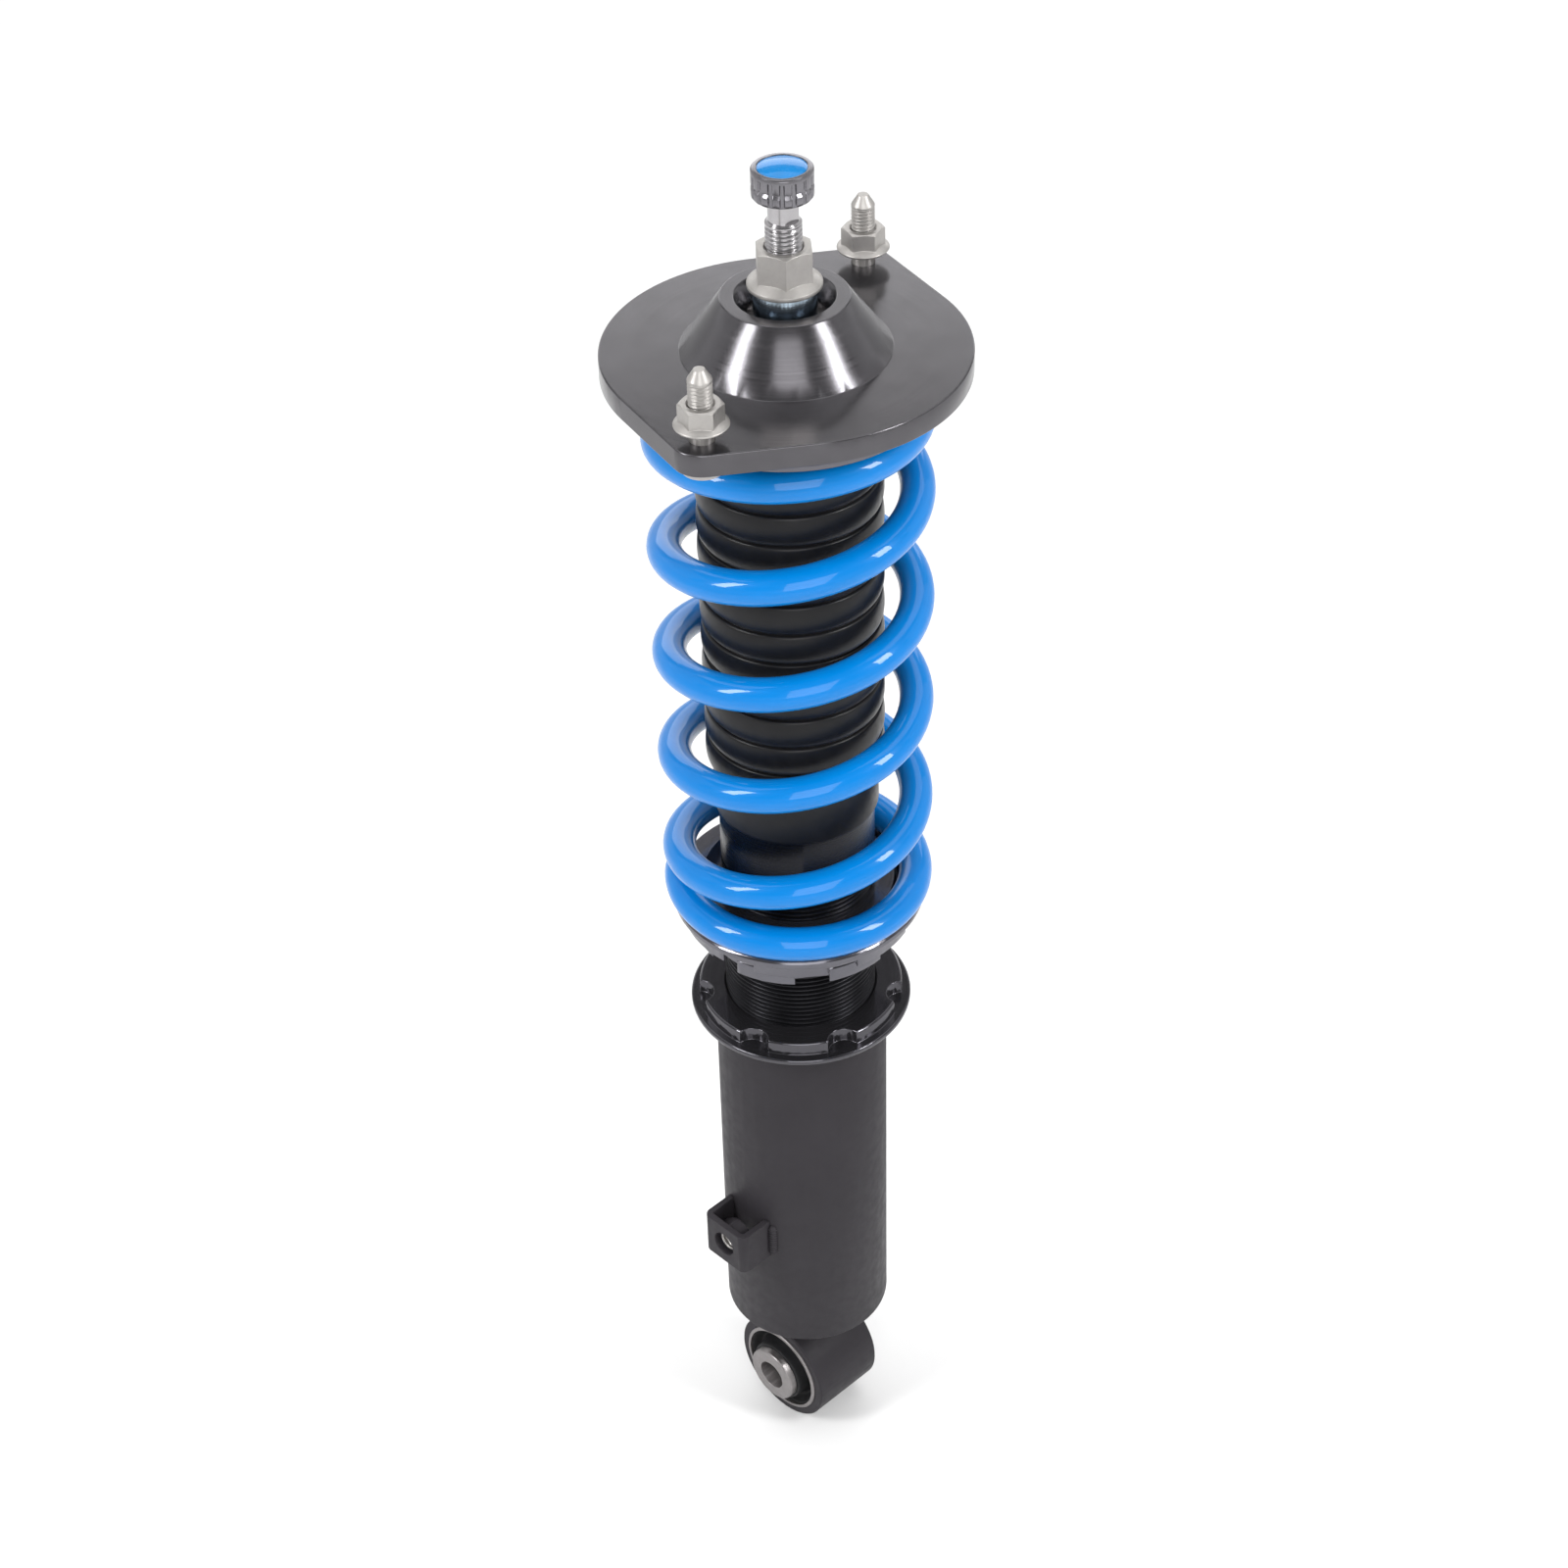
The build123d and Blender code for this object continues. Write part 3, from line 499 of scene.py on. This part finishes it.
# ---- Threaded damper cylinder ------------------------------------------------------------------
tube_low, tube_high = (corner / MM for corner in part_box("damper_cylinder"))
body_radius = tube_high.x


def cylinder_shell():
    """Plain ends with the body thread between them, and the bore."""
    columns = 120
    chamfer = 0.6
    lower = [(BODY_BORE, tube_low.z), (body_radius - chamfer, tube_low.z),
             (body_radius, tube_low.z + chamfer), (body_radius, BODY_THREAD["low"])]
    upper = [(body_radius, BODY_THREAD["high"]), (body_radius, tube_high.z - chamfer),
             (body_radius - chamfer, tube_high.z), (BODY_BORE, tube_high.z)]
    return joined(
        lathe(lower, columns), thread(body_radius, columns=columns, **BODY_THREAD), lathe(upper, columns),
        lathe([(BODY_BORE, tube_high.z), (BODY_BORE, tube_low.z)], columns),
    )


# The threaded body's finish is darkened as painted shade.
make("threaded_cylinder", cylinder_shell(), "damper", ["damper_cylinder"], BODY_SHADED_FINISH, 16)

# ---- Piston rod --------------------------------------------------------------------------------
rod_low, rod_high = (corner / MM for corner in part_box("piston_rod"))


def rod_shell():
    """Stub, chromed rod, threaded journal and a neck with two flats, bored for the adjuster shaft."""
    columns = 72
    rod, journal, neck, half_flats, well, jet = rod_high.x, 6.0, 5.0, 4.0, 2.6, 1.2
    stub_top, shoulder, thread_top, well_floor = 280.0, 456.8, 521.0, 270.0
    chamfer = 0.4
    lower = [(jet, rod_low.z), (journal - 0.3, rod_low.z), (journal, rod_low.z + 0.3), (journal, stub_top),
             (rod - chamfer, stub_top), (rod, stub_top + chamfer), (rod, shoulder - chamfer),
             (rod - chamfer, shoulder), (journal, shoulder), (journal, ROD_THREAD["low"])]
    upper = [(journal, ROD_THREAD["high"]), (journal, thread_top - 0.8), (neck + 0.25, thread_top)]
    corner = math.acos(half_flats / neck)
    angle = around(columns)
    for quadrant, sign in ((0, 1), (math.pi, -1), (math.pi, 1), (FULL_TURN, -1)):
        edge = quadrant + sign * corner
        angle[np.argmin(np.abs(angle - edge))] = edge
    necks = []
    for height, radius in ((thread_top, neck), (rod_high.z - chamfer, neck), (rod_high.z, neck - chamfer)):
        flat = half_flats - (neck - radius)
        necks.append(np.stack([np.clip(radius * np.cos(angle), -flat, flat), radius * np.sin(angle),
                               np.full(columns, height)], 1))
    mouth = ring(well, rod_high.z, columns)
    inside = [(well, rod_high.z), (well, well_floor), (jet, well_floor), (jet, rod_low.z)]
    return joined(
        lathe(lower, columns), thread(journal, columns=columns, **ROD_THREAD), lathe(upper, columns),
        skin([ring(neck + 0.25, thread_top, columns)] + necks + [mouth]), lathe(inside, columns),
    )


make("threaded_rod", rod_shell(), "rod", ["piston_rod"], FINISHES["chrome_rod"], 20)

# ---- Top studs ---------------------------------------------------------------------------------
studs_low, studs_high = (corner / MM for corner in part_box("top_studs"))


def studs_shell():
    """Two studs: flat head, threaded shank and a dog point."""
    columns = 64
    shank, head = 4.0, 7.0
    head_top = studs_low.z + 3.0
    tip = studs_high.z
    shells = []
    for half in (0, 180):
        angle = math.radians(STUD_DIRECTION + half)
        centre = (STUD_CIRCLE * math.cos(angle), STUD_CIRCLE * math.sin(angle))
        lower = [(0.0, studs_low.z), (6.3, studs_low.z), (6.85, studs_low.z + 0.15),
                 (head, studs_low.z + 0.6), (head, head_top), (shank, head_top), (shank, STUD_THREAD["low"])]
        point = [(shank, STUD_THREAD["high"]), (3.95, tip - 3.55), (3.8, tip - 3.2), (2.0, tip - 0.35),
                 (1.88, tip - 0.1), (1.65, tip), (0.0, tip)]
        shells += [lathe(lower, columns, centre),
                   thread(shank, columns=columns, centre=centre, **STUD_THREAD),
                   lathe(point, columns, centre)]
    return joined(*shells)


make("threaded_studs", studs_shell(), "top_mount", ["top_studs"], FINISHES["zinc_steel"], 20)

# ---- Adjuster knob -----------------------------------------------------------------------------
knob_low, knob_high = (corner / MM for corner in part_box("adjuster_knob"))


def knob_shell():
    """Two tiers of lands between grooves, a vee between the tiers, and a seat for the cap."""
    radius, depth, lands = knob_high.x, 0.72, 16
    gap = (knob_low.z + knob_high.z) / 2 - 0.6
    stops = (  # degrees from a groove's middle, share of its depth
        (0.0, 1.0), (2.9, 1.0), (3.6, 0.85), (4.2, 0.5), (4.7, 0.15), (5.2, 0.02), (6.0, 0.0), (11.25, 0.0),
    )
    angles, cuts = [], []
    for land in range(lands):
        start = 360 / lands * land
        for lean, cut in stops:
            angles.append(start + lean)
            cuts.append(cut)
        for lean, cut in reversed(stops[1:-1]):
            angles.append(start + 360 / lands - lean)
            cuts.append(cut)
    angle, cut = np.radians(angles), np.array(cuts)
    rows = [  # height, inset of the lands, share of the groove's depth
        (knob_low.z, 1.0, 0.75), (knob_low.z + 0.25, 0.55, 0.9), (knob_low.z + 0.9, 0.08, 1.0),
        (knob_low.z + 1.3, 0.0, 1.0), (gap - 1.15, 0.0, 1.0), (gap - 0.95, 0.06, 1.0),
        (gap + 0.05, 0.78, 1.0), (gap + 0.2, 0.78, 1.0), (gap + 0.6, 0.06, 1.0),
        (gap + 0.75, 0.0, 1.0), (knob_high.z - 2.2, 0.0, 1.0),
        (knob_high.z - 1.9, 0.0, 0.9), (knob_high.z - 1.7, 0.0, 0.45), (knob_high.z - 1.6, 0.0, 0.0),
        (knob_high.z - 0.9, 0.0, 0.0), (knob_high.z - 0.45, 0.12, 0.0), (knob_high.z - 0.12, 0.45, 0.0),
        (knob_high.z, 0.9, 0.0),
    ]
    rings = []
    for height, inset, share in rows:
        rings.append(outline(radius - np.maximum(inset, depth * share * cut), angle, height))
    seat, socket_top, shaft, socket = knob_high.z - 1.0, 533.3, 2.5, 5.05
    inside = (
        (8.35, knob_high.z), (8.1, knob_high.z - 0.2), (8.05, seat), (shaft, seat), (shaft, socket_top),
        (socket, socket_top), (socket, knob_low.z + 0.2), (5.3, knob_low.z),
    )
    rings += [outline(reach, angle, height) for reach, height in inside]
    return skin(rings, close=True)


# The knob's finish is lightened as painted light.
make("knob_grip", knob_shell(), "adjuster", ["adjuster_knob"], KNOB_LIT_FINISH, 30)

# ---- Bush rubber, bump stop --------------------------------------------------------------------
ACROSS = Matrix.Rotation(math.radians(-90), 4, "X")  # turns a lathed piece's axis from Z to Y


def bush_shell():
    """Rubber bonded between the sleeves, hollowed at each end, with a lip on each sleeve."""
    side = [(11.66, 18.95), (12.5, 18.9), (12.9, 18.2), (13.2, 15.5), (13.8, 13.0), (14.6, 12.2),
            (15.4, 12.4), (16.4, 13.6), (17.2, 14.8), (17.78, 15.3)]
    side = smooth_path(side, 4)
    return lathe(side + [(radius, -height) for radius, height in reversed(side)], 96, close=True)


make("bush_rubber_moulding", bush_shell(), "bracket", ["bush_rubber"], FINISHES["bush_rubber"],
     SOFT_SHAPE_ANGLE, ACROSS)


def bump_shell():
    """Foam buffer with two waists, bored for the rod."""
    bore = 11.3
    low, high = (corner.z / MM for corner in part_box("bump_stop"))
    side = [(11.5, low), (13.4, low + 0.3), (14.6, low + 1.6), (17.6, low + 6), (18.0, low + 8),
            (17.2, low + 11.5), (15.1, low + 15), (17.0, low + 19), (19.7, low + 23), (19.9, low + 26),
            (18.0, low + 30), (16.1, low + 33), (18.0, low + 36.5), (19.8, low + 41), (19.95, low + 46),
            (19.8, high - 0.6), (19.2, high)]
    return lathe(smooth_path(side, 4) + [(bore, high), (bore, low)], 96, close=True)


make("bump_foam", bump_shell(), "rod", ["bump_stop"], FINISHES["urethane"], SOFT_SHAPE_ANGLE)

# ---- Welds -------------------------------------------------------------------------------------
weld_low, weld_high = (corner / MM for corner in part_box("bracket_welds"))
tube_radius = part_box("lower_tube")[1].x / MM


def bead_shell(path, out, size, ripple):
    """A run of weld: overlapping scallops along a path, tapered at both ends."""
    stations_a_scallop, tapered_share, flatness = 6, 1 / 9, 0.8
    section = around(BEAD_COLUMNS)
    rings = []
    count = len(path)
    for index, spot in enumerate(path):
        along = path[min(index + 1, count - 1)] - path[max(index - 1, 0)]
        along = along / np.linalg.norm(along)
        side = np.cross(along, out)
        end = min(index, count - 1 - index) / (count - 1) / tapered_share
        taper = math.sqrt(max(0.0, 1 - (1 - min(end, 1.0)) ** 2))
        scallop = 1 - ripple * abs(math.sin(index * math.pi / stations_a_scallop)) ** 0.7 + ripple * 0.5
        radius = max(size * taper * scallop, 0.01)
        spokes = np.outer(np.cos(section), out) * flatness + np.outer(np.sin(section), side)
        rings.append(spot + radius * spokes)
    return skin(rings)


def bracket_weld_shell():
    """A bead up each side of the hose bracket, where it meets the tube."""
    clear = math.radians(1.6)
    sunk, inset, stations = 0.1, 1, 73
    shells = []
    lean = math.asin(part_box("hose_bracket")[1].x / MM / tube_radius)
    for sign in (-1, 1):
        angle = -math.pi / 2 + sign * (lean + clear)
        heights = np.linspace(weld_low.z + inset, weld_high.z - inset, stations)
        out = np.array([math.cos(angle), math.sin(angle), 0.0])
        path = [(tube_radius - sunk) * out + np.array([0.0, 0.0, height]) for height in heights]
        shells.append(bead_shell(path, out, size=2.0, ripple=0.16))
    return joined(*shells)


make("bracket_weld_beads", bracket_weld_shell(), "bracket", ["bracket_welds"],
     FINISHES["black_painted_tube"], 60)

# ---- Weld nut ----------------------------------------------------------------------------------
nut_low, nut_high = (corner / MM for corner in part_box("hose_weld_nut"))


def weld_nut_shells():
    """A hexagon with turned-off corners, and the M8 thread through it, both with their axis upright."""
    columns, thick, flats, hole = 72, nut_high.y - nut_low.y, 13.0, 3.4
    mouth, sunk, pitch, depth = 0.5, 0.4, 1.25, 0.6
    sextant = FULL_TURN / 6
    angle = around(columns)
    reach = flats / 2 / np.cos((angle + sextant / 2) % sextant - sextant / 2)
    limits = ((0.0, 6.6), (0.35, 7.1), (0.8, 8.0))  # distance from either face, largest radius
    limits += tuple((thick - height, limit) for height, limit in reversed(limits))
    rings = [outline(np.minimum(reach, limit), angle, height) for height, limit in limits]
    top = [ring(hole + mouth, thick, columns), ring(hole, thick - sunk, columns)]
    bottom = [ring(hole, sunk, columns), ring(hole + mouth, 0.0, columns)]
    hexagon = skin(bottom[1:] + rings + top[:1])
    bored = joined(skin(bottom), thread(hole, pitch, -depth, sunk, thick - sunk, columns), skin(top[::-1]))
    return hexagon, bored


nut_centre = (nut_low + nut_high) / 2 * MM
nut_place = Matrix.Translation((nut_centre.x, nut_low.y * MM, nut_centre.z)) @ ACROSS
nut_hexagon, nut_thread = weld_nut_shells()
make("weld_nut_hexagon", nut_hexagon, "bracket", ["hose_weld_nut"],
     FINISHES["black_painted_tube"], 36, nut_place)
make("weld_nut_thread", nut_thread, "bracket", ["hose_weld_nut"], FINISHES["zinc_steel"],
     36, nut_place)

# ---- Floor -------------------------------------------------------------------------------------
FLOOR_REACH = 2.2
FLOOR_CORNERS = 128
floor_mesh = bpy.data.meshes.new("floor")
floor_mesh.from_pydata(
    [tuple(point) for point in ring(FLOOR_REACH, cad_bounds[0][2], FLOOR_CORNERS)], [], [range(FLOOR_CORNERS)]
)
floor = bpy.data.objects.new("floor", floor_mesh)
bpy.context.scene.collection.objects.link(floor)
floor_mesh.materials.append(Finish("floor_white", (0.81, 0.81, 0.81), 0.9, Specular_IOR_Level=0.1).material)

# ---- Camera: angles in degrees, place in metres ------------------------------------------------
CAMERA_PLACE = Vector((0.64018, -0.61606, 0.98454))
LENS, SENSOR = 72, 36
VIEW_TURN = math.radians(46.1)
VIEW_YAW = math.radians(-0.2835)
VIEW_DOWN = math.radians(37.769)
VIEW_ROLL = math.radians(-1.5023)
ahead = Vector((math.sin(VIEW_YAW) * math.cos(VIEW_DOWN), math.cos(VIEW_YAW) * math.cos(VIEW_DOWN),
                -math.sin(VIEW_DOWN)))
ahead = Matrix.Rotation(VIEW_TURN, 3, "Z") @ ahead
level_right = ahead.cross(Vector((0, 0, 1))).normalized()
level_up = level_right.cross(ahead)
camera_x = math.cos(VIEW_ROLL) * level_right + math.sin(VIEW_ROLL) * level_up
camera_y = -math.sin(VIEW_ROLL) * level_right + math.cos(VIEW_ROLL) * level_up
pose = Matrix((camera_x, camera_y, -ahead)).transposed().to_4x4()
pose.translation = CAMERA_PLACE
camera_data = bpy.data.cameras.new("camera")
camera_data.lens = LENS
camera_data.sensor_width = SENSOR
camera = bpy.data.objects.new("camera", camera_data)
camera.matrix_world = pose
bpy.context.scene.collection.objects.link(camera)
bpy.context.scene.camera = camera

# ---- Light -------------------------------------------------------------------------------------
TARGET = Vector((0, 0, 0.3))
FRONT = math.degrees(math.atan2(CAMERA_PLACE.y, CAMERA_PLACE.x))
SOFTBOXES = (  # name, degrees to the side of the camera and up, metres away, wide and high, watts
    ("key_left", -66, 36, 1.7, 0.34, 0.8, 17),
    ("key_right", 66, 36, 1.7, 0.34, 0.8, 17),
    ("front", 4, 27, 1.9, 1.1, 1.5, 17),
    ("back", 180, 23.5, 2.53, 3.0, 0.9, 20),
    ("overhead", 180, 72, 2.8, 4.2, 2.5, 56),
    ("side_left", -112, 27, 2.2, 1.6, 1.0, 3),
    ("side_right", 112, 27, 2.2, 1.6, 1.0, 3),
)


def softbox(name, side, elevation, distance, width, height, power):
    """A rectangular light at an angle to the side of the camera, aimed at the strut."""
    data = bpy.data.lights.new(name, "AREA")
    data.shape = "RECTANGLE"
    data.size = width
    data.size_y = height
    data.energy = power
    angle, rise = math.radians(FRONT + side), math.radians(elevation)
    offset = Vector((math.cos(angle) * math.cos(rise), math.sin(angle) * math.cos(rise), math.sin(rise)))
    lamp = bpy.data.objects.new(name, data)
    lamp.location = TARGET + offset * distance
    lamp.rotation_euler = (-offset).to_track_quat("-Z", "Y").to_euler()
    bpy.context.scene.collection.objects.link(lamp)


for lamp_row in SOFTBOXES:
    softbox(*lamp_row)

world = bpy.data.worlds.new("studio")
bpy.context.scene.world = world
world.use_nodes = True
# The backdrop is pale up to a little over the horizon and dim overhead, like a studio's wall.
WALL, CEILING = 0.8, 0.2
WALL_TOP, CEILING_EDGE = 0.14, 0.34  # sines of elevation
outside = world.node_tree
way = outside.nodes.new("ShaderNodeTexCoord")
split_way = outside.nodes.new("ShaderNodeSeparateXYZ")
ramp = outside.nodes.new("ShaderNodeMapRange")
outside.links.new(way.outputs["Generated"], split_way.inputs[0])
outside.links.new(split_way.outputs["Z"], ramp.inputs["Value"])
ramp.inputs["From Min"].default_value = WALL_TOP
ramp.inputs["From Max"].default_value = CEILING_EDGE
ramp.inputs["To Min"].default_value = WALL
ramp.inputs["To Max"].default_value = CEILING
outside.links.new(ramp.outputs["Result"], outside.nodes["Background"].inputs["Strength"])
outside.nodes["Background"].inputs["Color"].default_value = (1.0, 1.0, 1.0, 1)
bpy.context.scene.view_settings.view_transform = "Standard"
